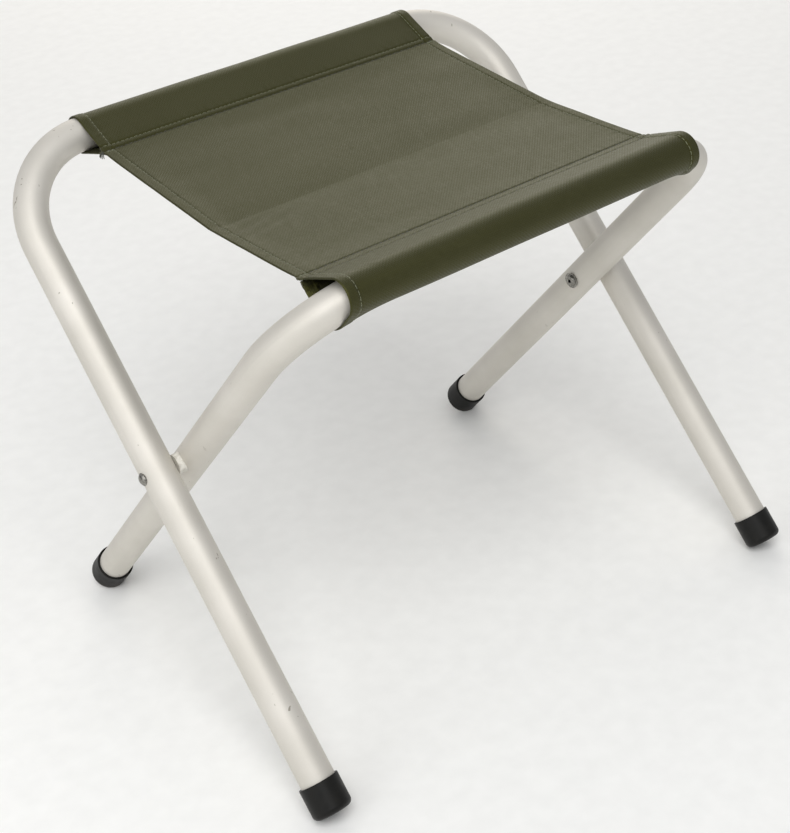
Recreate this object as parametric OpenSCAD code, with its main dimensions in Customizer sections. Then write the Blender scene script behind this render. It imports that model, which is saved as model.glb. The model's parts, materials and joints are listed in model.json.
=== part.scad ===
/* [Frames] */
// Overall width across the outer frame
frame_w = 462; // [400:1:560]
// Tube diameter
tube_d = 25; // [20:0.5:30]
// Tube wall
tube_wall = 1.2; // [0.8:0.1:2]
// Bend radius of both frames, to the tube's centre line
bend_r = 69; // [55:1:85]
// Lean of the outer frame from upright
outer_lean = 43.2; // [36:0.1:48]
// Lean of the inner frame from upright
inner_lean = 40.3; // [34:0.1:48]
// Pivot to the rear rail's centre line, along the leg
outer_upper = 246; // [205:1:296]
// How much lower the inner rail lies when the stool is folded flat
rail_drop = 30; // [28:1:40]
// Pivot to the end of the outer frame's feet, along the leg
outer_lower = 255.5; // [212:0.5:307]

/* [Pivots] */
// Gap between the two tubes at the pivot
pivot_gap = 4.5; // [3:0.1:8]
// Spacer diameter
spacer_d = 15; // [12:0.5:18]
// Rivet shank diameter
rivet_d = 6; // [5:0.1:7]
// Rivet head diameter
rivet_head_d = 9.6; // [8:0.1:12]
// Height of the rivet's domed head
rivet_head_h = 2.4; // [1.5:0.1:3]
// Diameter of the rivet's rolled end
rivet_roll_d = 10; // [9:0.1:11]
// Depth of the hollow in the rolled end
rivet_hollow = 7; // [4:0.5:10]
// Washer diameter under the rolled end
washer_d = 13; // [11:0.5:16]
// Washer thickness
washer_t = 0.8; // [0.5:0.1:1.5]

/* [Feet] */
// Wall of the foot cap
cap_wall = 1.8; // [1.2:0.1:3]
// Length of the foot cap
cap_len = 23; // [16:0.5:34]
// Thickness of the cap's end
cap_floor = 3; // [2:0.5:5]
// Rounding of the cap's end edge
cap_round = 4; // [2:0.5:5]
// Depth of the flat that the floor makes on each foot
foot_flat = 0.5; // [0.3:0.1:1]

/* [Seat] */
// How far the seat reaches past the straight part of the front rail, each side
seat_overhang = 34; // [10:1:40]
// Thickness of the seat cloth
cloth_t = 1; // [0.6:0.1:2]
// How far the crease hangs below the line between the rails
seat_sag = 8.5; // [4:0.5:20]
// Rear rail's centre to its sleeve seam
rear_reach = 34; // [28:0.5:42]
// Front rail's centre to its sleeve seam
front_reach = 37; // [28:0.5:45]
// Width of the turned side hems
hem_w = 9.5; // [6:0.5:15]
// Thickness of the hem's turned layer
hem_t = 1; // [0.6:0.1:2]
// Width of the sewn band where a sleeve's layers meet
seam_band = 9; // [5:0.5:12]

/* [Hidden] */
$fn = 64;
LOFT_FN = 32;
CUT = 1;
SLICE = 0.1;
RIVET_PLAY = 0.05;
SEAT_PLAY = 0.3;
CAP_PLAY = 0.05;
PIVOT_PLAY = 0.2;

tube_r = tube_d / 2;
outer_half = frame_w / 2 - tube_r;
inner_half = outer_half - tube_d - pivot_gap;
outer_rail_half = outer_half - bend_r;
inner_rail_half = inner_half - bend_r;
inner_upper = outer_upper - rail_drop;
hole_d = rivet_d + 2 * RIVET_PLAY;

// A foot's lowest edge is the rounded rim of its cap.
cap_r = tube_r + CAP_PLAY + cap_wall;
function rim_drop(lean) = (cap_r - cap_round) * sin(lean) + cap_round;
pivot_z = (outer_lower - cap_round) * cos(outer_lean) + rim_drop(outer_lean) - foot_flat;
inner_lower = (pivot_z + foot_flat - rim_drop(inner_lean)) / cos(inner_lean) + cap_round;
// The origin is under the middle of the whole stool, so the pivot stands a little to the rear.
front_extent = (outer_lower - cap_round) * sin(outer_lean)
    + (cap_r - cap_round) * cos(outer_lean) + cap_round;
rear_extent = outer_upper * sin(outer_lean) + tube_r + SEAT_PLAY + cloth_t;
pivot_y = (front_extent - rear_extent) / 2;

// Seat profile: points are [y, z] in the plane across the rails.
pivot = [pivot_y, pivot_z];
rear_rail = pivot + outer_upper * [sin(outer_lean), cos(outer_lean)];
front_rail = pivot + inner_upper * [-sin(inner_lean), cos(inner_lean)];
function unit(v) = v / norm(v);
function left_of(v) = [-v[1], v[0]];
function rotation(v, a) = [v[0] * cos(a) - v[1] * sin(a), v[0] * sin(a) + v[1] * cos(a)];
rail_gap = norm(rear_rail - front_rail);
rail_line = unit(rear_rail - front_rail);
// The rear half is longer by the rail drop, so both halves hang together when folded.
crease = front_rail + rail_line * (rail_gap - rail_drop) / 2 - left_of(rail_line) * seat_sag;
rear_line = unit(rear_rail - crease);
front_line = unit(crease - front_rail);
rear_seam = rear_rail - rear_line * rear_reach;
front_seam = front_rail + front_line * front_reach;
seat_half = inner_rail_half + seat_overhang;
panel_t = cloth_t + 0.2;
seam_gap = SEAT_PLAY + panel_t / 2;
rear_start = crease + rear_line * SEAT_PLAY / 2;
front_finish = crease - front_line * SEAT_PLAY / 2;

// Moves a frame's own space, pivot at zero and legs upright, to where the frame stands.
module lean_outer() { translate([0, pivot_y, pivot_z]) rotate([-outer_lean, 0, 0]) children(); }
module lean_inner() { translate([0, pivot_y, pivot_z]) rotate([inner_lean, 0, 0]) children(); }

// Builds the right-hand version of a piece, or its mirror image on the left.
module on_side(side) {
    if (side > 0) children();
    else mirror([1, 0, 0]) children();
}

// A solid bar bent to the frame's U, standing on its two legs.
module u_bar(diameter, half, upper, lower) {
    for (side = [-1, 1]) on_side(side) {
        translate([half, 0, -lower]) cylinder(d = diameter, h = lower + upper - bend_r);
        translate([half - bend_r, 0, upper - bend_r]) rotate([90, 0, 0])
            rotate_extrude(angle = 90) translate([bend_r, 0]) circle(d = diameter);
    }
    translate([bend_r - half, 0, upper]) rotate([0, 90, 0])
        cylinder(d = diameter, h = 2 * (half - bend_r));
}

module u_tube(half, upper, lower) {
    difference() {
        u_bar(tube_d, half, upper, lower);
        u_bar(tube_d - 2 * tube_wall, half, upper, lower + CUT);
        rotate([0, 90, 0]) cylinder(d = hole_d, h = 2 * half + 2 * tube_d, center = true);
    }
}

module outer_frame() {
    color("#d6d2c8") lean_outer() u_tube(outer_half, outer_upper, outer_lower - cap_floor);
}

module inner_frame() {
    color("#d6d2c8") lean_inner() u_tube(inner_half, inner_upper, inner_lower - cap_floor);
}

// A cup over the tube's end, its rim rounded; the end lies at zero and the mouth above it.
module cap_cup() {
    difference() {
        rotate_extrude() {
            translate([0, cap_round]) square([cap_r, cap_len - cap_round]);
            square([cap_r - cap_round, cap_round]);
            intersection() {
                translate([cap_r - cap_round, cap_round]) circle(r = cap_round);
                square([cap_r, cap_len]);
            }
        }
        translate([0, 0, cap_floor]) cylinder(r = tube_r + CAP_PLAY, h = cap_len);
    }
}

// Cuts a foot off at the floor, where its rubber is worn flat.
module above_floor() {
    difference() {
        children();
        translate([0, 0, -cap_len]) cube([2 * frame_w, 4 * outer_lower, 2 * cap_len], center = true);
    }
}

module outer_cap(side) {
    color("#23221e") above_floor()
        lean_outer() translate([side * outer_half, 0, -outer_lower]) cap_cup();
}

module inner_cap(side) {
    color("#23221e") above_floor()
        lean_inner() translate([side * inner_half, 0, -inner_lower]) cap_cup();
}

// Depth of the saddle that lets a round piece of this diameter sit on the tube.
function saddle(diameter) = tube_r - sqrt(tube_r * tube_r - diameter * diameter / 4);

// Turns +Z to point along +X, the way the rivets run.
module along_x() { rotate([0, 90, 0]) children(); }

// A domed head, hollowed underneath to sit on the tube.
module rivet_head() {
    dome_r = (rivet_head_d * rivet_head_d / 4 + rivet_head_h * rivet_head_h) / (2 * rivet_head_h);
    rim = saddle(rivet_head_d);
    difference() {
        translate([outer_half + tube_r - rim, 0, 0]) along_x() rotate_extrude() intersection() {
            translate([0, rim + rivet_head_h - dome_r]) circle(r = dome_r);
            square([rivet_head_d / 2, rim + rivet_head_h]);
        }
        translate([outer_half, 0, 0]) cylinder(r = tube_r + RIVET_PLAY, h = 4 * tube_d, center = true);
    }
}

// The shank, with its hollow end rolled over into a ring.
module rivet_shank(tail) {
    roll_r = (rivet_roll_d - rivet_d / 2) / 4;
    ring_r = rivet_roll_d / 2 - roll_r;
    translate([tail, 0, 0]) along_x() rotate_extrude() difference() {
        union() {
            square([rivet_d / 2, outer_half + tube_r + rivet_head_h / 2 - tail]);
            translate([ring_r - roll_r, -roll_r]) square([rivet_d / 2 - ring_r + roll_r, roll_r]);
            intersection() {
                translate([ring_r, 0]) circle(r = roll_r);
                translate([0, -roll_r]) square([rivet_roll_d, roll_r]);
            }
        }
        translate([0, -2 * roll_r]) square([ring_r - roll_r, rivet_hollow + 2 * roll_r]);
    }
}

module pivot_rivet() {
    color("#b9bab8") lean_outer() {
        rivet_head();
        rivet_shank(inner_half - tube_r - RIVET_PLAY - washer_t);
    }
}

module rivet_washer() {
    color("#b9bab8") lean_outer()
        translate([inner_half - tube_r - RIVET_PLAY - washer_t, 0, 0]) along_x() difference() {
            cylinder(d = washer_d, h = washer_t);
            translate([0, 0, -CUT]) cylinder(d = hole_d, h = washer_t + 2 * CUT);
        }
}

// The spacer is hollowed to sit on the inner tube and runs flat against the outer one.
module pivot_spacer() {
    start = inner_half + tube_r - saddle(spacer_d);
    finish = outer_half - tube_r - PIVOT_PLAY;
    color("#cfccc4") lean_inner() difference() {
        translate([start, 0, 0]) along_x() cylinder(d = spacer_d, h = finish - start);
        translate([start - CUT, 0, 0]) along_x() cylinder(d = hole_d, h = finish - start + 2 * CUT);
        translate([inner_half, 0, 0])
            cylinder(r = tube_r + RIVET_PLAY, h = 2 * spacer_d, center = true);
    }
}

// Extrudes a [y, z] outline along X between two places.
module across(x_from, x_to) {
    translate([x_from, 0, 0]) rotate([90, 0, 90]) linear_extrude(height = x_to - x_from) children();
}

// A teardrop: round the rail at zero, drawn out along +x to a rounded tip.
module teardrop(radius, reach, tip) {
    a = asin((radius - tip) / reach);
    circle(r = radius);
    translate([reach, 0]) circle(r = tip);
    polygon([[radius * sin(a), radius * cos(a)], [reach + tip * sin(a), tip * cos(a)],
        [reach + tip * sin(a), -tip * cos(a)], [radius * sin(a), -radius * cos(a)]]);
}

// A sleeve's cross-section where the rail inside it has bent away by drop.
module bent_teardrop(radius, reach, tip, away) {
    hull() {
        teardrop(radius, reach, tip, $fn = LOFT_FN);
        translate(away) circle(r = radius, $fn = LOFT_FN);
    }
}

// One solid of a sleeve: straight over the rail, then widening past the rail's bends.
module sleeve_body(rail, line, radius, reach, tip, rail_half, leg_line, past) {
    turn = atan2(line[1], line[0]);
    bent = max(seat_half - rail_half, 0);
    slope = asin(bent / bend_r);
    away = leg_line * (bend_r * (1 - cos(slope)) + tube_r * (1 / cos(slope) - 1) + 2 * SEAT_PLAY);
    flat = min(rail_half, seat_half);
    across(-flat - (bent > 0 ? 0 : past), flat + (bent > 0 ? 0 : past))
        translate(rail) rotate(turn) teardrop(radius, reach, tip);
    if (bent > 0) for (side = [-1, 1]) on_side(side) hull() {
        across(flat - past, flat - past + SLICE)
            translate(rail) rotate(turn) teardrop(radius, reach, tip, $fn = LOFT_FN);
        across(seat_half - SLICE + past, seat_half + past) translate(rail) rotate(turn)
            bent_teardrop(radius, reach, tip, rotation(away, -turn));
    }
}

module sleeve(rail, line, reach, rail_half, leg_line) {
    tip = cloth_t;
    end = reach - seam_gap - tip;
    difference() {
        sleeve_body(rail, line, tube_r + SEAT_PLAY + cloth_t, end, tip, rail_half, leg_line, 0);
        sleeve_body(rail, line, tube_r + SEAT_PLAY, end - seam_band, 0.2, rail_half, leg_line, CUT);
    }
}

module rear_sleeve() {
    color("#45462f") sleeve(rear_rail, -rear_line, rear_reach, outer_rail_half,
        [-sin(outer_lean), -cos(outer_lean)]);
}

module front_sleeve() {
    color("#45462f") sleeve(front_rail, front_line, front_reach, inner_rail_half,
        [sin(inner_lean), -cos(inner_lean)]);
}

// A strip between two points, from low to high measured above the line that joins them.
module strip(from, to, low, high) {
    up = left_of(unit(to - from));
    polygon([from + up * low, to + up * low, to + up * high, from + up * high]);
}

// A panel's sewn edge is round, so it turns in its seam; its other edge is at the crease.
module panel(from, to, seam) {
    across(-seat_half, seat_half) {
        strip(from, to, -panel_t / 2, panel_t / 2);
        translate(seam) circle(d = panel_t);
    }
}

module rear_panel() { color("#5f5e42") panel(rear_start, rear_seam, rear_seam); }

module front_panel() { color("#5f5e42") panel(front_seam, front_finish, front_seam); }

// The hem's turned layer lies under the panel's side edge, clear of its seam.
module hem(from, to) {
    across(seat_half - hem_w, seat_half) strip(from, to, -panel_t / 2 - hem_t, -panel_t / 2);
}

module rear_hem() {
    color("#55553b") hem(rear_start + rear_line * hem_t, rear_seam - rear_line * 2 * hem_t);
}

module front_hem() {
    color("#55553b") hem(front_seam + front_line * 2 * hem_t, front_finish - front_line * hem_t);
}

outer_frame();
inner_frame();
outer_cap(-1);  // outer_cap_left
outer_cap(1);  // outer_cap_right
inner_cap(-1);  // inner_cap_left
inner_cap(1);  // inner_cap_right
on_side(-1) pivot_rivet();  // pivot_rivet_left
on_side(1) pivot_rivet();  // pivot_rivet_right
on_side(-1) rivet_washer();  // rivet_washer_left
on_side(1) rivet_washer();  // rivet_washer_right
on_side(-1) pivot_spacer();  // pivot_spacer_left
on_side(1) pivot_spacer();  // pivot_spacer_right
rear_sleeve();
rear_panel();
on_side(-1) rear_hem();  // rear_hem_left
on_side(1) rear_hem();  // rear_hem_right
front_panel();
on_side(-1) front_hem();  // front_hem_left
on_side(1) front_hem();  // front_hem_right
front_sleeve();
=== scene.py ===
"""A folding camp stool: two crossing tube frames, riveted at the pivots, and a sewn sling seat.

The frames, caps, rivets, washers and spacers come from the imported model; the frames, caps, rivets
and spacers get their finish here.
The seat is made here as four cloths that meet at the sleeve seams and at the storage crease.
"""

import json
import math

import bpy
from mathutils import Matrix, Vector, noise


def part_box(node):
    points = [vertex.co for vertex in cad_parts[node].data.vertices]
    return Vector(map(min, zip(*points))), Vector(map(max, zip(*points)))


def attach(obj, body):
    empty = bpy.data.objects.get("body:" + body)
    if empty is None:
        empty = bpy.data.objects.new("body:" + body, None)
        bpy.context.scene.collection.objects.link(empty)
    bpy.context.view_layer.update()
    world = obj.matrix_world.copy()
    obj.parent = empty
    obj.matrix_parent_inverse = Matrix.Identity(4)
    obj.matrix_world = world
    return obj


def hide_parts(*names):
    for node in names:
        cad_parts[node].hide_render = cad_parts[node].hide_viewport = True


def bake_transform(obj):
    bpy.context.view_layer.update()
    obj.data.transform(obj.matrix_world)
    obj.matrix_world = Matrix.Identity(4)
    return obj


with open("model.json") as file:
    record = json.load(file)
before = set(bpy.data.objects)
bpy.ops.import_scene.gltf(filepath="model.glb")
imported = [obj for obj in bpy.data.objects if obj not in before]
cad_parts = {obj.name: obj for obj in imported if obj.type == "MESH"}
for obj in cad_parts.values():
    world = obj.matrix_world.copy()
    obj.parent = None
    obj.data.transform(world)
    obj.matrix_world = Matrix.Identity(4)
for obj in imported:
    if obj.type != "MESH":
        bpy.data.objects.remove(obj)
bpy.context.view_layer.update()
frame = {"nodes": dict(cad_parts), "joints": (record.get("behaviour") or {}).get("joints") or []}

MM = 0.001

# ---------------------------------------------------------------- sizes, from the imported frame


def joint_place(name):
    """Where a joint's axis passes through the middle of the stool, as (y, z)."""
    joint = next(j for j in frame["joints"] if j["name"] == name)
    return Vector(joint["pos_m"][1:])


PIVOT = joint_place("fold")
REAR_RAIL = joint_place("rear_sleeve_turn")
REAR_SEAM = joint_place("rear_panel_turn")
FRONT_SEAM = joint_place("front_panel_turn")
TUBE_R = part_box("outer_frame")[1].z - REAR_RAIL.y
inner_low, inner_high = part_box("inner_frame")
FRONT_RAIL = Vector((inner_low.y + TUBE_R, inner_high.z - TUBE_R))
OUTER_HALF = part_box("outer_frame")[1].x - TUBE_R
INNER_HALF = inner_high.x - TUBE_R
BEND_R = 69 * MM  # middle line of a tube's bend from rail to leg
SEAT_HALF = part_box("rear_panel")[1].x

# The two halves' lines, run on past their seams, cross at the crease.
rear_half = (REAR_SEAM - REAR_RAIL).normalized()
front_half = (FRONT_SEAM - FRONT_RAIL).normalized()
across_halves = rear_half.cross(front_half)
CREASE = REAR_SEAM + rear_half * ((FRONT_SEAM - REAR_SEAM).cross(front_half) / across_halves)

CLOTH = 0.9 * MM  # thickness of one layer
LAYER = 0.98 * MM  # a sleeve's two outer faces lie this far either side of the seam's middle
WRAP_R = TUBE_R + 0.3 * MM + CLOTH  # outer face of a sleeve on its rail
PANEL_FACE = 0.45 * MM  # the halves' upper face above their middle line
HEM = 9.5 * MM
HEM_ROW = 8.1 * MM  # the hem's stitches, in from the side edge
# A seam's two rows of stitches: one on the half and one on the sleeve, away from the seam.
REAR_ROWS = (1.2 * MM, 3.6 * MM)
FRONT_ROWS = (3.4 * MM, 5.4 * MM)
STITCH = 3.1 * MM
STITCH_STEP = 3.7 * MM
THREAD_R = 0.34 * MM
GROOVE = 0.5 * MM  # how deep a row of stitches pulls the cloth in
GROOVE_WIDTH = 0.9 * MM
PUCKER = 0.12 * MM  # height of the puckers beside a row, and how far they reach
PUCKER_REACH = 6.5 * MM
EDGE = 1.2 * MM  # how far in from the side a hem's fold begins to round
HALF_HEM_RISE = 0.1 * MM  # a hem is turned under on the halves and stands proud on the sleeves
SLEEVE_HEM_RISE = 0.65 * MM
SLACK = 0.8 * MM  # how far a half hangs below its straight line away from its edges
FOLD_SAG = 1.6 * MM  # and how much deeper at the middle fold
OUT_OF_TRUE = 5 * MM  # the seat's front lies this far over to the left
WIDE_STEP = 1.75 * MM  # between vertices on plain cloth
FINE_STEP = 0.6 * MM  # and beside stitches
ROUND = 96  # points round a rail in a sleeve's outline


def smooth(low, high, value):
    """0 at low and 1 at high, held beyond them, with an even S between."""
    t = min(max((value - low) / (high - low), 0.0), 1.0)
    return t * t * (3 - 2 * t)


# ---------------------------------------------------------------- colours and nodes


def colour(hex_code):
    """Linear RGBA from an sRGB hex code."""
    channels = [int(hex_code[i : i + 2], 16) / 255 for i in (1, 3, 5)]
    linear = [c / 12.92 if c <= 0.04045 else ((c + 0.055) / 1.055) ** 2.4 for c in channels]
    return (*linear, 1.0)


def feed(tree, node, inputs):
    """Sets each socket to its number or colour, or links it to what feeds it."""
    for socket, source in inputs.items():
        if isinstance(source, bpy.types.NodeSocket):
            tree.links.new(source, node.inputs[socket])
        else:
            node.inputs[socket].default_value = source


def add(tree, kind, inputs, stops=(), **settings):
    """Adds a node and gives back its outputs. stops are a colour ramp's places and hex codes."""
    node = tree.nodes.new(kind)
    for name, value in settings.items():
        setattr(node, name, value)
    feed(tree, node, inputs)
    if stops:
        elements = node.color_ramp.elements
        while len(elements) < len(stops):
            elements.new(0.5)
        for element, (place, code) in zip(elements, stops):
            element.position = place
            element.color = colour(code)
    return node.outputs


def new_material(name):
    material = bpy.data.materials.new(name)
    material.use_nodes = True
    tree = material.node_tree
    return material, tree, tree.nodes["Principled BSDF"]


# ---------------------------------------------------------------- materials
# A Mix node's sockets go by number: 0 is its factor, 6 and 7 are its colours, and 2 comes out.


def anodised_aluminium():
    """Etched and anodised champagne: an even satin with a fine grain, pimples and rub marks."""
    material, tree, shader = new_material("champagne_anodised_aluminium")
    place = add(tree, "ShaderNodeTexCoord", {})["Object"]
    fine = add(tree, "ShaderNodeTexNoise", {
        "Vector": place, "Scale": 1 / (0.9 * MM), "Detail": 2.0})["Fac"]
    cloudy = add(tree, "ShaderNodeTexNoise", {
        "Vector": place, "Scale": 1 / (45 * MM), "Detail": 3.0})["Fac"]
    tint = add(tree, "ShaderNodeValToRGB", {"Fac": cloudy},
               stops=[(0.3, "#CECAC1"), (0.7, "#D8D4CC")])["Color"]
    # Rub marks show as short dark streaks, only in the paler clouds.
    slanted = add(tree, "ShaderNodeMapping", {
        "Vector": place, "Scale": (1, 1, 0.25), "Rotation": (0.6, 0.3, 0)})["Vector"]
    rubs = add(tree, "ShaderNodeTexNoise", {
        "Vector": slanted, "Scale": 1 / (3.2 * MM), "Detail": 1.0, "Distortion": 0.6})["Fac"]
    marks = add(tree, "ShaderNodeMapRange", {
        "Value": rubs, "From Min": 0.735, "From Max": 0.76})["Result"]
    paler = add(tree, "ShaderNodeMapRange", {
        "Value": cloudy, "From Min": 0.52, "From Max": 0.6})["Result"]
    rubbed = add(tree, "ShaderNodeMath", {0: marks, 1: paler}, operation="MULTIPLY")["Value"]
    shown = add(tree, "ShaderNodeMix", {0: rubbed, 6: tint, 7: colour("#A39D91")},
                data_type="RGBA")[2]
    gloss = add(tree, "ShaderNodeMapRange", {
        "Value": fine, "From Min": 0.3, "From Max": 0.7, "To Min": 0.54, "To Max": 0.62})["Result"]
    grain = add(tree, "ShaderNodeBump", {
        "Height": fine, "Strength": 0.12, "Distance": 0.05 * MM})["Normal"]
    cells = add(tree, "ShaderNodeTexVoronoi", {
        "Vector": place, "Scale": 1 / (16 * MM)})["Distance"]
    pimples = add(tree, "ShaderNodeMapRange", {
        "Value": cells, "From Min": 0.03, "From Max": 0.06, "To Min": 1.0, "To Max": 0.0})["Result"]
    bump = add(tree, "ShaderNodeBump", {
        "Height": pimples, "Normal": grain, "Strength": 0.5, "Distance": 0.12 * MM})["Normal"]
    feed(tree, shader, {"Base Color": shown, "Roughness": gloss, "Metallic": 0.5, "Normal": bump})
    return material


def moulded_black_plastic():
    """Injection-moulded polyethylene: near black, half glossy, with mould grain and scuffs."""
    material, tree, shader = new_material("moulded_black_plastic")
    place = add(tree, "ShaderNodeTexCoord", {})["Object"]
    grain = add(tree, "ShaderNodeTexNoise", {
        "Vector": place, "Scale": 1 / (0.8 * MM), "Detail": 2.0})["Fac"]
    wear = add(tree, "ShaderNodeTexNoise", {
        "Vector": place, "Scale": 1 / (6 * MM), "Detail": 4.0})["Fac"]
    # Feet are scuffed paler in their lowest few millimetres.
    height = add(tree, "ShaderNodeSeparateXYZ", {"Vector": place})["Z"]
    low = add(tree, "ShaderNodeMapRange", {
        "Value": height, "From Min": MM, "From Max": 8 * MM, "To Min": 0.55,
        "To Max": 0.0})["Result"]
    scuff = add(tree, "ShaderNodeMath", {0: low, 1: wear}, operation="MULTIPLY")["Value"]
    body = add(tree, "ShaderNodeValToRGB", {"Fac": wear},
               stops=[(0.35, "#0C0C0A"), (0.7, "#13120F")])["Color"]
    shown = add(tree, "ShaderNodeMix", {0: scuff, 6: body, 7: colour("#5A574F")},
                data_type="RGBA")[2]
    gloss = add(tree, "ShaderNodeMapRange", {
        "Value": wear, "From Min": 0.3, "From Max": 0.7, "To Min": 0.4, "To Max": 0.55})["Result"]
    bump = add(tree, "ShaderNodeBump", {
        "Height": grain, "Strength": 0.25, "Distance": 0.08 * MM})["Normal"]
    feed(tree, shader, {
        "Base Color": shown, "Roughness": gloss, "IOR": 1.5, "Specular IOR Level": 0.25,
        "Normal": bump})
    return material


def plated_steel():
    """Zinc-plated rivet steel: grey, and bright where it was pressed, with fine scratches."""
    material, tree, shader = new_material("zinc_plated_steel")
    place = add(tree, "ShaderNodeTexCoord", {})["Object"]
    spots = add(tree, "ShaderNodeTexNoise", {
        "Vector": place, "Scale": 1 / (1.4 * MM), "Detail": 3.0})["Fac"]
    shown = add(tree, "ShaderNodeValToRGB", {"Fac": spots},
                stops=[(0.3, "#75736D"), (0.7, "#A19F99")])["Color"]
    gloss = add(tree, "ShaderNodeMapRange", {
        "Value": spots, "From Min": 0.3, "From Max": 0.7, "To Min": 0.22, "To Max": 0.36})["Result"]
    bump = add(tree, "ShaderNodeBump", {
        "Height": spots, "Strength": 0.2, "Distance": 0.05 * MM})["Normal"]
    feed(tree, shader, {"Base Color": shown, "Roughness": gloss, "Metallic": 1.0, "Normal": bump})
    return material


def off_white_nylon():
    """Turned nylon, a little waxy, rubbed grey where the tubes run against it."""
    material, tree, shader = new_material("off_white_nylon")
    place = add(tree, "ShaderNodeTexCoord", {})["Object"]
    rub = add(tree, "ShaderNodeTexNoise", {
        "Vector": place, "Scale": 1 / (2.5 * MM), "Detail": 3.0})["Fac"]
    shown = add(tree, "ShaderNodeValToRGB", {"Fac": rub},
                stops=[(0.35, "#C9C5BA"), (0.65, "#E2DFD6")])["Color"]
    bump = add(tree, "ShaderNodeBump", {
        "Height": rub, "Strength": 0.15, "Distance": 0.1 * MM})["Normal"]
    feed(tree, shader, {"Base Color": shown, "Roughness": 0.5, "IOR": 1.53, "Normal": bump})
    return material


def woven_polyester():
    """Coated polyester canvas in plain weave: olive, a satin sheen, with slubs along both threads.

    The real threads are 0.6 mm apart. They are drawn 1.3 mm apart, the finest that still shows.
    """
    material, tree, shader = new_material("olive_woven_polyester")
    spread = add(tree, "ShaderNodeUVMap", {}, uv_map="cloth")["UV"]
    thread = 1.3
    in_mm = add(tree, "ShaderNodeMapping", {
        "Vector": spread, "Scale": (1000, 1000, 1000)})["Vector"]
    # A wave texture's band is pi / 10 wide at scale 1.
    warp, weft = (
        add(tree, "ShaderNodeTexWave", {
            "Vector": in_mm, "Scale": math.pi / 10 / thread, "Distortion": 0.25, "Detail": 1.0,
            "Detail Scale": 0.6}, bands_direction=way)["Color"]
        for way in "XY")
    over = add(tree, "ShaderNodeTexChecker", {"Vector": in_mm, "Scale": 1 / thread})["Fac"]
    weave = add(tree, "ShaderNodeMix", {0: over, 6: warp, 7: weft}, data_type="RGBA")[2]
    # Slubs are about 1 mm wide and 6 mm long, and clouds of dirt 70 mm across.
    slub_x, slub_y, clouds = (
        add(tree, "ShaderNodeTexNoise", {
            "Vector": add(tree, "ShaderNodeMapping", {
                "Vector": spread, "Scale": scale})["Vector"],
            "Scale": 1.0, "Detail": detail})
        for scale, detail in (((1100, 160, 1), 2.0), ((160, 1100, 1), 2.0), ((14, 14, 14), 3.0)))
    slubs = add(tree, "ShaderNodeMix", {0: 0.42, 6: slub_x["Color"], 7: slub_y["Color"]},
                data_type="RGBA")[2]
    yarn = add(tree, "ShaderNodeValToRGB", {"Fac": slubs},
               stops=[(0.36, "#1F201A"), (0.5, "#282820"), (0.64, "#323228")])["Color"]
    shaded = add(tree, "ShaderNodeMix", {0: weave, 6: colour("#171710"), 7: yarn},
                 data_type="RGBA")[2]
    aged = add(tree, "ShaderNodeMix", {0: 0.8, 6: yarn, 7: shaded}, data_type="RGBA")[2]
    toned = add(tree, "ShaderNodeValToRGB", {"Fac": clouds["Fac"]},
                stops=[(0.35, "#E9E9E9"), (0.65, "#FFFFFF")])["Color"]
    even = add(tree, "ShaderNodeMix", {0: 1.0, 6: aged, 7: toned}, data_type="RGBA",
               blend_type="MULTIPLY")[2]
    # Painted shade along each row of stitches: the cloth is darkened on and beside its seam and hem
    # rows, standing in for the shadow in the rows' grooves.
    painted_row_shade = add(tree, "ShaderNodeAttribute", {}, attribute_name="painted_row_shade")["Fac"]
    rows = add(tree, "ShaderNodeValToRGB", {"Fac": painted_row_shade},
               stops=[(0.0, "#FFFFFF"), (1.0, "#8A8A8A")])["Color"]
    shown = add(tree, "ShaderNodeMix", {0: 1.0, 6: even, 7: rows}, data_type="RGBA",
                blend_type="MULTIPLY")[2]
    gloss = add(tree, "ShaderNodeMapRange", {
        "Value": slubs, "From Min": 0.35, "From Max": 0.65, "To Min": 0.46,
        "To Max": 0.6})["Result"]
    bump = add(tree, "ShaderNodeBump", {
        "Height": weave, "Strength": 0.55, "Distance": 0.16 * MM})["Normal"]
    feed(tree, shader, {
        "Base Color": shown, "Roughness": gloss, "Specular IOR Level": 0.8,
        "Specular Tint": colour("#E3E17C"), "Sheen Weight": 0.03, "Sheen Roughness": 0.45,
        "Sheen Tint": colour("#A9A77C"), "Normal": bump})
    return material


def sewing_thread(name, dark, light):
    """Bonded polyester sewing thread, twisted: the twist shows as slanting dark and light bands."""
    material, tree, shader = new_material(name)
    place = add(tree, "ShaderNodeTexCoord", {})["Object"]
    slanted = add(tree, "ShaderNodeMapping", {"Vector": place, "Rotation": (0, 0.7, 0.7)})["Vector"]
    twist = add(tree, "ShaderNodeTexWave", {
        "Vector": slanted, "Scale": math.pi / 10 / (0.9 * MM), "Distortion": 1.0})["Fac"]
    shown = add(tree, "ShaderNodeValToRGB", {"Fac": twist},
                stops=[(0.2, dark), (0.8, light)])["Color"]
    bump = add(tree, "ShaderNodeBump", {
        "Height": twist, "Strength": 0.4, "Distance": 0.1 * MM})["Normal"]
    feed(tree, shader, {
        "Base Color": shown, "Roughness": 0.55, "Sheen Weight": 0.2, "Normal": bump})
    return material


ALUMINIUM = anodised_aluminium()
PLASTIC = moulded_black_plastic()
STEEL = plated_steel()
NYLON = off_white_nylon()
CANVAS = woven_polyester()
THREAD = sewing_thread("twisted_sewing_thread", "#505238", "#777A5C")
# In the seams the thread is given darker colours: painted shade standing in for the shadow where it
# is drawn tight into its holes.
SHADE_PAINTED_SEAM_THREAD = sewing_thread("shade_painted_sewing_thread", "#22221A", "#3B3B2C")

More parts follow.
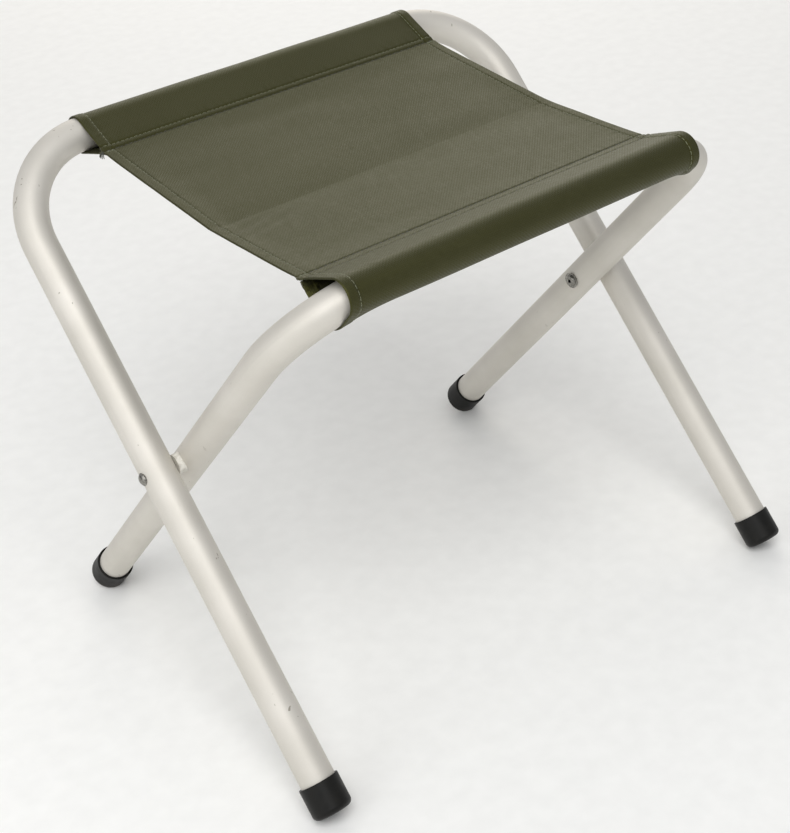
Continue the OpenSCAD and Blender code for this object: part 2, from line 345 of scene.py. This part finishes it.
NODE_FINISH = {"frame": ALUMINIUM, "cap": PLASTIC, "rivet": STEEL, "spacer": NYLON}
for node_name, node_object in frame["nodes"].items():
    finish = next((m for word, m in NODE_FINISH.items() if word in node_name), None)
    if finish:
        node_object.data.materials.clear()
        node_object.data.materials.append(finish)

# ---------------------------------------------------------------- mesh helpers


def select_only(piece):
    bpy.ops.object.select_all(action="DESELECT")
    piece.select_set(True)
    bpy.context.view_layer.objects.active = piece


def apply_modifiers(piece):
    select_only(piece)
    for modifier in list(piece.modifiers):
        bpy.ops.object.modifier_apply(modifier=modifier.name)


def sheet_grid(name, columns, rows):
    """A grid primitive with that many vertices each way, its own place in its mesh."""
    bpy.ops.object.select_all(action="DESELECT")
    bpy.ops.mesh.primitive_grid_add(x_subdivisions=columns - 1, y_subdivisions=rows - 1, size=1)
    piece = bpy.context.object
    piece.name = piece.data.name = name
    return piece


def turn(a, b, c):
    """Above 0 where the way from a over b to c turns to the left."""
    return (b[0] - a[0]) * (c[1] - a[1]) - (b[1] - a[1]) * (c[0] - a[0])


def chain(run):
    """The convex chain along points that are already in order."""
    kept = []
    for p in run:
        while len(kept) > 1 and turn(kept[-2], kept[-1], p) <= 0:
            kept.pop()
        kept.append(p)
    return kept[:-1]


def outline(points):
    """The convex outline of flat points, anticlockwise."""
    ordered = sorted(points)
    return chain(ordered) + chain(ordered[::-1])


def graded(length, bands, fine, wide):
    """Distances from 0 to length: fine steps inside the bands and wide steps between them."""
    places = [0.0]
    while places[-1] < length - 1e-9:
        here = places[-1]
        inside = any(low <= here + 1e-9 < high for low, high in bands)
        places.append(here + (fine if inside else wide))
    return [p * length / places[-1] for p in places]


# ---------------------------------------------------------------- the seat's surface
# A half's place is x across the stool and s from the crease, positive to the rear.
# A sleeve's place is x and s from its upper seam, over the rail and back underneath.

HALF_KINK = math.pi - rear_half.angle(front_half)
MIDDLE_UP = Vector((rear_half.y - front_half.y, front_half.x - rear_half.x)).normalized()
REAR_LENGTH = (REAR_SEAM - CREASE).length
FRONT_LENGTH = (FRONT_SEAM - CREASE).length

# Columns lie close together over the side hems, and closest where a hem's edge rounds.
hem_zone = 1.3 * HEM
near_side = graded(hem_zone, [(0, EDGE)], 0.24 * MM, 0.62 * MM)
inner_side = graded(SEAT_HALF - hem_zone, [], 0, WIDE_STEP)
left_columns = near_side[:-1] + [hem_zone + d for d in inner_side]
COLUMNS = [d - SEAT_HALF for d in left_columns] + [SEAT_HALF - d for d in left_columns[-2::-1]]


def side_shift(y):
    """The seat was cut a little out of true, so its front lies over to the left."""
    to_front = (REAR_SEAM.x - y) / (REAR_SEAM.x - FRONT_SEAM.x)
    return -OUT_OF_TRUE * min(max(to_front, 0.0), 1.0)


def hem_share(x):
    """1 on a side hem and 0 on the single cloth inside it."""
    return smooth(SEAT_HALF - HEM, SEAT_HALF - HEM + 1.5 * MM, abs(x))


def edge_drop(x, from_seam):
    """The hem's folded edge rounds down over its last millimetre, but stays full beside a seam."""
    t = max(0.0, 1 - (SEAT_HALF - abs(x)) / EDGE)
    return CLOTH * (1 - math.sqrt(max(0.0, 1 - t * t))) * smooth(3 * MM, 9 * MM, from_seam)


def row_hold_and_shade(distance):
    """How firmly a row of stitches holds the cloth down, and how much painted shade lies along the
    row: 1 on the row and 0 away from it.
    """
    return math.exp(-((distance / GROOVE_WIDTH) ** 2))


def groove(distance):
    """How far a row of stitches pulls the cloth in, at a distance from the row."""
    return -GROOVE * row_hold_and_shade(distance)


def gathers(along, distance):
    """Small puckers beside a row of stitches, fading away from it."""
    wobble = noise.noise(Vector((along * 90, distance * 60, 4.0)))
    wave = math.sin(math.pi * along / STITCH_STEP + 3 * wobble)
    return PUCKER * wave * (0.7 + wobble) * math.exp(-((distance / PUCKER_REACH) ** 2))


def hem_lift(x, s, rise, from_seam):
    """What a side hem adds to the outer face: a raised band, its stitches and its rounded edge."""
    inside = SEAT_HALF - abs(x)
    wave = 0.14 * MM * noise.noise(Vector((s * 45, math.copysign(3.0, x), 0.5)))
    row = inside - HEM_ROW
    stitched = groove(row) + 0.8 * gathers(s, row)
    return hem_share(x) * (rise + wave) + stitched - edge_drop(x, from_seam)


def ridge(distance, rows):
    """The puffed strip between a seam's two rows, at a distance from the seam towards the rail."""
    middle = (rows[1] - rows[0]) / 2
    spread = 0.32 * (rows[0] + rows[1])
    return 0.18 * spread * math.exp(-(((distance - middle) / spread) ** 2))


def half_lift(x, s, length):
    """Slack waves of a half, dying out towards its seam and its hems."""
    ease = smooth(0, 30 * MM, length - abs(s)) * smooth(0, 24 * MM, SEAT_HALF - abs(x))
    slow = 1.1 * MM * noise.noise(Vector((x * 9, s * 15, 1.3)))
    quick = 0.34 * MM * noise.noise(Vector((x * 24, s * 50, 7.7)))
    # Storage creases run in from the left side, just in front of the middle fold.
    left = math.exp(-(((x + SEAT_HALF - 20 * MM) / (34 * MM)) ** 2))
    near = math.exp(-(((s + 15 * MM) / (13 * MM)) ** 2))
    pleat = 0.3 * MM * math.sin(2 * math.pi * (0.8 * s - 0.22 * x) / (11 * MM)) * left * near
    return ease * (slow + quick - SLACK) + pleat * smooth(0, 5 * MM, SEAT_HALF - abs(x))


def sag(x, away, rear, length):
    """How far a half hangs below its straight line: the rear one falls steeply into the fold."""
    depth = FOLD_SAG * (1 - 0.5 * smooth(-SEAT_HALF, SEAT_HALF, x))
    fall = math.exp(-away / (18 * MM)) if rear else (1 - away / length) ** 2
    return depth * fall * smooth(0, 20 * MM, SEAT_HALF - abs(x))


def half_point(x, s):
    """The upper face of the two halves."""
    rear = s > 0
    along = -rear_half if rear else -front_half
    up = Vector((-along.y, along.x)) if rear else Vector((along.y, -along.x))
    length = REAR_LENGTH if rear else FRONT_LENGTH
    seam_rows = REAR_ROWS if rear else FRONT_ROWS
    away = abs(s)
    # The middle fold is sharp at the left and softer to the right.
    fillet = (1.6 + 12 * smooth(-SEAT_HALF, SEAT_HALF, x)) * MM
    rounding = 0.25 * HALF_KINK * fillet * max(0.0, 1 - away / fillet) ** 2
    up = MIDDLE_UP.lerp(up, smooth(0, 8 * MM, away)).normalized()
    face = PANEL_FACE + (LAYER - PANEL_FACE) * smooth(25 * MM, 0, length - away)
    row = length - away - seam_rows[0]
    lift = rounding + face + groove(row) + gathers(x, row) + ridge(away - length, seam_rows)
    lift += hem_lift(x, s, HALF_HEM_RISE, length - away) + half_lift(x, s, length)
    lift -= sag(x, away, rear, length)
    flat = CREASE + along * away + up * lift
    return Vector((x + side_shift(flat.x), flat.x, flat.y))


class Sleeve:
    """A loop of cloth sewn round a rail. Its outline is drawn in the plane across the rail."""

    def __init__(self, rail, seam, rail_half, foot_side, seam_rows):
        self.rail, self.seam, self.rail_half, self.seam_rows = rail, seam, rail_half, seam_rows
        self.reach = (seam - rail).length
        self.along = (seam - rail).normalized()
        self.up = Vector((-self.along.y, self.along.x))
        if self.up.y < 0:
            self.up.negate()
        self.leg = foot_side.normalized()
        self.outlines = {}
        self.length = self.line_length(self.outline_at(0.0))
        self.rows = graded(self.length, [(0, 9 * MM), (self.length - 9 * MM, self.length)],
                           FINE_STEP, 1.25 * MM)

    @staticmethod
    def line_length(points):
        return sum(math.dist(a, b) for a, b in zip(points, points[1:]))

    def outline_at(self, x):
        """The outer face at x, from the upper seam over the rail to the lower seam."""
        key = round(x / (0.1 * MM))
        if key not in self.outlines:
            bent = max(0.0, abs(x + side_shift(self.rail.x)) - self.rail_half)
            slope = math.asin(min(bent / BEND_R, 0.99))
            drop = self.leg * BEND_R * (1 - math.cos(slope))
            away = (drop.dot(self.along), drop.dot(self.up))
            lean = (self.leg.dot(self.along), self.leg.dot(self.up))
            points = [(self.reach, LAYER), (self.reach, -LAYER)]
            for share in (0.0, 0.3, 1.0):
                stretch = share * WRAP_R * (1 / math.cos(slope) - 1)
                for k in range(ROUND):
                    a = 2 * math.pi * k / ROUND
                    c, n = math.cos(a), math.sin(a)
                    longer = stretch * (c * lean[0] + n * lean[1])
                    points.append((share * away[0] + WRAP_R * c + longer * lean[0],
                                   share * away[1] + WRAP_R * n + longer * lean[1]))
            loop = outline(points)
            first = loop.index((self.reach, LAYER))
            self.outlines[key] = loop[first:] + loop[:first]
        return self.outlines[key]

    def line(self, x, places):
        """Points and outward directions of the outline at x, at distances along it."""
        points = self.outline_at(x)
        scale = self.line_length(points) / self.length
        found, k, run = [], 0, 0.0
        step = math.dist(points[0], points[1])
        for place in places:
            want = place * scale
            while k < len(points) - 2 and run + step < want:
                run += step
                k += 1
                step = math.dist(points[k], points[k + 1])
            t = (want - run) / step
            a, b = Vector(points[k]), Vector(points[k + 1])
            found.append((a.lerp(b, t), Vector((b.y - a.y, a.x - b.x)).normalized()))
        return found

    def lift(self, x, s):
        """What stitches, hems and slack add to the outer face."""
        seam = min(s, self.length - s)
        row = seam - self.seam_rows[1]
        rows = groove(row) + gathers(x, row)
        if s < self.length / 2:
            rows += ridge(seam, self.seam_rows)
        slack = smooth(6 * MM, 30 * MM, seam)
        slow = 0.35 * MM * noise.noise(Vector((x * 14, s * 30, self.reach * 500)))
        rise = SLEEVE_HEM_RISE * smooth(0, 4 * MM, seam)
        return rows + slack * (slow - 0.15 * MM) + hem_lift(x, s, rise, seam)

    def points(self, x, places):
        found = []
        for place, (flat, out) in zip(places, self.line(x, places)):
            # Beside its seams the sleeve lifts square to the halves, so the cloths meet.
            ease = smooth(0, 3 * MM, min(place, self.length - place))
            side = 1 if place < self.length / 2 else -1
            out = Vector((0, side)).lerp(out, ease).normalized()
            flat = flat + out * self.lift(x, place)
            spot = self.rail + self.along * flat.x + self.up * flat.y
            found.append(Vector((x + side_shift(spot.x), spot.x, spot.y)))
        return found

    def point(self, x, s):
        return self.points(x, [s])[0]


REAR_SLEEVE = Sleeve(REAR_RAIL, REAR_SEAM, OUTER_HALF - BEND_R, PIVOT - REAR_RAIL, REAR_ROWS)
FRONT_SLEEVE = Sleeve(FRONT_RAIL, FRONT_SEAM, INNER_HALF - BEND_R, PIVOT - FRONT_RAIL, FRONT_ROWS)

# ---------------------------------------------------------------- the cloths


def grid_places(columns, column_points):
    """Vertex places in a grid primitive's own order, row by row along x."""
    by_column = [column_points(x) for x in columns]
    return [by_column[i][j] for j in range(len(by_column[0])) for i in range(len(columns))]


def cloth(name, columns, rows, column_points, seam_rows):
    """One cloth: a grid shaped to its outer face. seam_rows are its seams' rows of stitches."""
    piece = sheet_grid(name, len(columns), len(rows))
    mesh = piece.data
    for vertex, place in zip(mesh.vertices, grid_places(columns, column_points)):
        vertex.co = place
    flat = mesh.uv_layers[0] if mesh.uv_layers else mesh.uv_layers.new()
    flat.name = "cloth"
    for loop in mesh.loops:
        row, column = divmod(loop.vertex_index, len(columns))
        flat.data[loop.index].uv = (columns[column], rows[row])
    # Painted shade along the seam and hem rows of stitches, kept on each vertex for the cloth's
    # colour.
    painted_row_shade = mesh.attributes.new("painted_row_shade", "FLOAT", "POINT")
    for vertex in mesh.vertices:
        row, column = divmod(vertex.index, len(columns))
        near = [row_hold_and_shade(rows[row] - place) for place in seam_rows]
        near.append(row_hold_and_shade(SEAT_HALF - abs(columns[column]) - HEM_ROW))
        painted_row_shade.data[vertex.index].value = max(near)
    mesh.update()
    return piece


def thicken(piece, columns, from_seam):
    """Gives the cloth its single layer, its double hem and seam, and its rounded side edge."""
    layers = piece.vertex_groups.new(name="layers")
    for vertex in piece.data.vertices:
        row, column = divmod(vertex.index, len(columns))
        x = columns[column]
        folded = max(hem_share(x), smooth(8 * MM, 6 * MM, from_seam[row]))
        share = 0.5 + 0.5 * folded - 0.45 * edge_drop(x, from_seam[row]) / CLOTH
        layers.add([vertex.index], share, "REPLACE")
    solid = piece.modifiers.new("layers", "SOLIDIFY")
    solid.thickness = 2 * CLOTH
    solid.offset = -1
    solid.vertex_group = "layers"
    solid.use_even_offset = False
    apply_modifiers(piece)
    piece.vertex_groups.clear()
    select_only(piece)
    bpy.ops.object.shade_smooth_by_angle(angle=math.radians(35))
    piece.data.materials.clear()
    piece.data.materials.append(CANVAS)
    return piece


def face_out(piece, outward):
    """Turns the faces over if the first does not look the way it should."""
    face = piece.data.polygons[len(piece.data.polygons) // 2]
    if face.normal.dot(outward(face.center)) < 0:
        select_only(piece)
        bpy.ops.object.mode_set(mode="EDIT")
        bpy.ops.mesh.select_all(action="SELECT")
        bpy.ops.mesh.flip_normals()
        bpy.ops.object.mode_set(mode="OBJECT")


def half_cloth(name, sign, length, seam_rows):
    bands = [(0, 2 * MM), (length - 9 * MM, length)]
    rows = [sign * d for d in graded(length, bands, FINE_STEP, WIDE_STEP)]
    # A row exactly on the crease belongs to the half it starts.
    rows[0] = sign * 1e-7
    piece = cloth(name, COLUMNS, rows, lambda x: [half_point(x, s) for s in rows],
                  [sign * (length - seam_rows[0])])
    face_out(piece, lambda place: Vector((0, 0, 1)))
    return thicken(piece, COLUMNS, [length - abs(s) for s in rows])


def sleeve_cloth(name, sleeve):
    piece = cloth(name, COLUMNS, sleeve.rows, lambda x: sleeve.points(x, sleeve.rows),
                  [sleeve.seam_rows[1], sleeve.length - sleeve.seam_rows[1]])
    middle = Vector((0, sleeve.rail.x, sleeve.rail.y))
    face_out(piece, lambda place: (place - middle) * Vector((0, 1, 1)))
    return thicken(piece, COLUMNS, [min(s, sleeve.length - s) for s in sleeve.rows])


rear_sleeve = sleeve_cloth("seat_rear_sleeve_cloth", REAR_SLEEVE)
rear_cloth = half_cloth("seat_rear_half_cloth", 1, REAR_LENGTH, REAR_ROWS)
front_cloth = half_cloth("seat_front_half_cloth", -1, FRONT_LENGTH, FRONT_ROWS)
front_sleeve = sleeve_cloth("seat_front_sleeve_cloth", FRONT_SLEEVE)

# ---------------------------------------------------------------- stitches


def stitch_template():
    """One stitch: a bead of thread along x, thinner and lower where it enters the cloth."""
    bpy.ops.object.select_all(action="DESELECT")
    bpy.ops.mesh.primitive_cylinder_add(vertices=6, radius=THREAD_R, depth=STITCH,
                                        end_fill_type="NGON")
    piece = bpy.context.object
    bpy.ops.object.mode_set(mode="EDIT")
    bpy.ops.mesh.select_all(action="SELECT")
    bpy.ops.transform.rotate(value=math.pi / 2, orient_axis="Y", center_override=(0, 0, 0))
    for cut in (-0.3, 0, 0.3):
        bpy.ops.mesh.select_all(action="SELECT")
        bpy.ops.mesh.bisect(plane_co=(cut * STITCH, 0, 0), plane_no=(1, 0, 0))
    bpy.ops.object.mode_set(mode="OBJECT")
    for vertex in piece.data.vertices:
        end = abs(vertex.co.x) / (STITCH / 2)
        vertex.co.yz = vertex.co.yz * (1 - 0.35 * end * end)
        vertex.co.z -= 0.9 * THREAD_R * end * end
    shape = [vertex.co.copy() for vertex in piece.data.vertices]
    faces = [tuple(face.vertices) for face in piece.data.polygons]
    bpy.data.objects.remove(piece, do_unlink=True)
    return shape, faces


STITCH_SHAPE, STITCH_FACES = stitch_template()


def sewn(name, runs, seam_runs):
    """A piece of sewing: each run is a list of (place, direction, outward) for its stitches."""
    places, faces = [], []
    plain_thread_faces = sum(len(run) for run in runs) * len(STITCH_FACES)
    for spot, ahead, out in (stitch for run in runs + seam_runs for stitch in run):
        side = out.cross(ahead).normalized()
        out = ahead.cross(side).normalized()
        first = len(places)
        places += [spot + ahead * v.x + side * v.y + out * (v.z + 0.25 * THREAD_R)
                   for v in STITCH_SHAPE]
        faces += [tuple(first + k for k in face) for face in STITCH_FACES]
    mesh = bpy.data.meshes.new(name)
    mesh.from_pydata(places, [], faces)
    piece = bpy.data.objects.new(name, mesh)
    bpy.context.collection.objects.link(piece)
    select_only(piece)
    bpy.ops.object.shade_smooth()
    mesh.materials.append(THREAD)
    # The seam runs, past the plain thread's faces, take the thread with painted shade.
    mesh.materials.append(SHADE_PAINTED_SEAM_THREAD)
    for face in mesh.polygons[plain_thread_faces:]:
        face.material_index = 1
    return piece


def run_along(place_at, length, inward=0.0):
    """Stitches along a line: place_at gives the surface, as a function of distance and sideways."""
    count = int(length / STITCH_STEP)
    start = (length - (count - 1) * STITCH_STEP) / 2
    stitches = []
    for k in range(count):
        d = start + k * STITCH_STEP
        ahead = (place_at(d + MM, 0) - place_at(d - MM, 0)).normalized()
        side = place_at(d, MM / 2) - place_at(d, -MM / 2)
        out = ahead.cross(side).normalized()
        stitches.append((place_at(d, 0) - out * inward, ahead, out))
    return stitches


def flipped(stitches, depth):
    """The same stitches seen from the other face of the cloth."""
    return [(spot - out * depth, ahead, -out) for spot, ahead, out in stitches]


def upward(stitches, outward):
    """Turns each stitch's outward side the way the cloth's outer face looks."""
    return [(spot, ahead, out if out.dot(outward(spot)) > 0 else -out)
            for spot, ahead, out in stitches]


def is_up(place):
    return Vector((0, 0, 1))


def from_rail(sleeve):
    middle = Vector((0, sleeve.rail.x, sleeve.rail.y))
    inside = Vector((0, sleeve.along.x, sleeve.along.y)) * sleeve.reach * 0.5
    return lambda place: (place - middle - inside) * Vector((0, 1, 1))


def loose_ends(corner, count):
    """Cut ends of thread left at a seam's corner: two beads each, leaning out and drooping."""
    ends = []
    for k in range(count):
        lean = Vector((-0.5 - 0.2 * k, 0.3 * (k - 2), -0.7)).normalized()
        droop = (lean + Vector((0.1 * k, 0.15 * (k - 2), -0.9))).normalized()
        out = Vector((0, 1, 0)).cross(lean).normalized()
        ends.append((corner + lean * 0.4 * STITCH, lean, out))
        ends.append((corner + lean * 0.8 * STITCH + droop * 0.4 * STITCH, droop, out))
    return ends


def half_sewing(name, sign, length, seam_rows):
    """The seam's row on a half, its two hem rows and the tacks at their ends, on both faces."""
    s = length - seam_rows[0]
    width = 2 * SEAT_HALF - 2 * MM
    runs = [run_along(lambda d, e: half_point(d - width / 2, sign * (s + e)), width)]
    for side in (-1, 1):
        x = side * (SEAT_HALF - HEM_ROW)
        runs.append(run_along(lambda d, e, x=x: half_point(x + e, sign * (MM + d)),
                              length - 3 * MM))
        # Two short rows across the hem, close together, tack its end down at the seam.
        tack = SEAT_HALF - 1.6 * MM
        for back in (2.6 * MM, 3.6 * MM):
            at = length - back
            runs.append(run_along(
                lambda d, e, side=side, at=at: half_point(side * (tack - d), sign * (at + e)),
                HEM_ROW - 0.6 * MM))
    seam, *hems = [upward(run, is_up) for run in runs]
    seam_runs = [seam, flipped(seam, CLOTH)]
    if sign > 0:
        seam_runs.append(loose_ends(half_point(0.4 * MM - SEAT_HALF, length - MM), 5))
    return sewn(name, hems + [flipped(run, 2 * CLOTH) for run in hems], seam_runs)


def sleeve_sewing(name, sleeve):
    """A sleeve's row on both sides of its seam, and the ring of hem stitches at each end."""
    width = 2 * SEAT_HALF - 2 * MM
    upper, lower = sleeve.seam_rows[1], sleeve.length - sleeve.seam_rows[1]
    runs = [run_along(lambda d, e, s=s: sleeve.point(d - width / 2, s + e), width)
            for s in (upper, lower)]
    for side in (-1, 1):
        x = side * (SEAT_HALF - HEM_ROW)
        runs.append(run_along(lambda d, e, x=x: sleeve.point(x + e, MM + d),
                              sleeve.length - 2 * MM))
    runs = [upward(run, from_rail(sleeve)) for run in runs]
    if sleeve is REAR_SLEEVE:
        return sewn(name, runs, [])
    # The front sleeve's two seam rows take the thread with painted shade.
    return sewn(name, runs[2:], runs[:2])


rear_sleeve_sewing = sleeve_sewing("rear_sleeve_sewing", REAR_SLEEVE)
rear_sewing = half_sewing("rear_half_sewing", 1, REAR_LENGTH, REAR_ROWS)
front_sewing = half_sewing("front_half_sewing", -1, FRONT_LENGTH, FRONT_ROWS)
front_sleeve_sewing = sleeve_sewing("front_sleeve_sewing", FRONT_SLEEVE)

# ---------------------------------------------------------------- what each piece rides on


def over_seam(piece):
    """Bakes the piece's place into its own mesh."""
    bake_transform(piece)


for piece in (rear_sleeve, rear_sleeve_sewing):
    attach(piece, "seat_rear_sleeve")
for piece in (rear_cloth, rear_sewing):
    over_seam(piece)
# Folded flat, the rear half hangs close behind the front seam.
for piece in (front_cloth, front_sewing):
    over_seam(piece)
for piece in (front_sleeve, front_sleeve_sewing):
    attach(piece, "inner_frame")

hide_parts("rear_sleeve")
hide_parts("rear_panel", "rear_hem_left", "rear_hem_right")
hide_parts("front_panel", "front_hem_left", "front_hem_right")
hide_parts("front_sleeve")

# ---------------------------------------------------------------- studio


def studio_floor():
    """Pale paper with a faint tooth."""
    material, tree, shader = new_material("pale_paper")
    place = add(tree, "ShaderNodeTexCoord", {})["Object"]
    tooth = add(tree, "ShaderNodeTexNoise", {
        "Vector": place, "Scale": 60.0, "Detail": 3.0})["Fac"]
    shown = add(tree, "ShaderNodeValToRGB", {"Fac": tooth},
                stops=[(0.3, "#F4F4F2"), (0.7, "#F8F8F6")])["Color"]
    feed(tree, shader, {"Base Color": shown, "Roughness": 0.9})
    bpy.ops.object.select_all(action="DESELECT")
    bpy.ops.mesh.primitive_plane_add(size=14)
    floor = bpy.context.object
    floor.name = "floor"
    floor.data.materials.append(material)


def soft_light(name, place, size, power, tint="#FFFFFF"):
    """A round lamp of that width, turned to the middle of the stool."""
    bpy.ops.object.light_add(type="AREA", location=place)
    lamp = bpy.context.object
    lamp.name = name
    lamp.data.shape = "DISK"
    lamp.data.size = size
    lamp.data.energy = power
    lamp.data.color = colour(tint)[:3]
    aim = Vector((0, 0, 0.25)) - Vector(place)
    lamp.rotation_euler = aim.to_track_quat("-Z", "Y").to_euler()


def studio_camera():
    """Stands at the front left, above the seat, a little rolled."""
    azimuth, elevation, roll = (math.radians(a) for a in (-38.404, 28.628, -3.192))
    back = Vector((math.sin(azimuth) * math.cos(elevation),
                   -math.cos(azimuth) * math.cos(elevation), math.sin(elevation)))
    level = Vector((math.cos(azimuth), math.sin(azimuth), 0))
    upright = back.cross(level)
    right = level * math.cos(roll) + upright * math.sin(roll)
    up = upright * math.cos(roll) - level * math.sin(roll)
    bpy.ops.object.camera_add(location=(-0.70567, -0.89311, 0.85850))
    camera = bpy.context.object
    camera.rotation_euler = Matrix((right, up, back)).transposed().to_euler()
    camera.data.sensor_width = 36
    camera.data.lens = 75.98
    camera.data.shift_x = -0.01071
    camera.data.shift_y = -0.13026
    bpy.context.scene.camera = camera


studio_floor()
soft_light("key", (-1.0, -1.3, 2.3), 1.8, 36)
soft_light("window", (1.5, 1.95, 1.4), 2.3, 22, "#FFFAF2")
soft_light("fill", (-2.2, -0.3, 1.2), 1.8, 13)
studio_camera()

world = bpy.context.scene.world or bpy.data.worlds.new("studio")
bpy.context.scene.world = world
world.use_nodes = True
background = world.node_tree.nodes["Background"]
background.inputs["Color"].default_value = colour("#F2F3F5")
background.inputs["Strength"].default_value = 0.52
bpy.context.scene.view_settings.view_transform = "Standard"
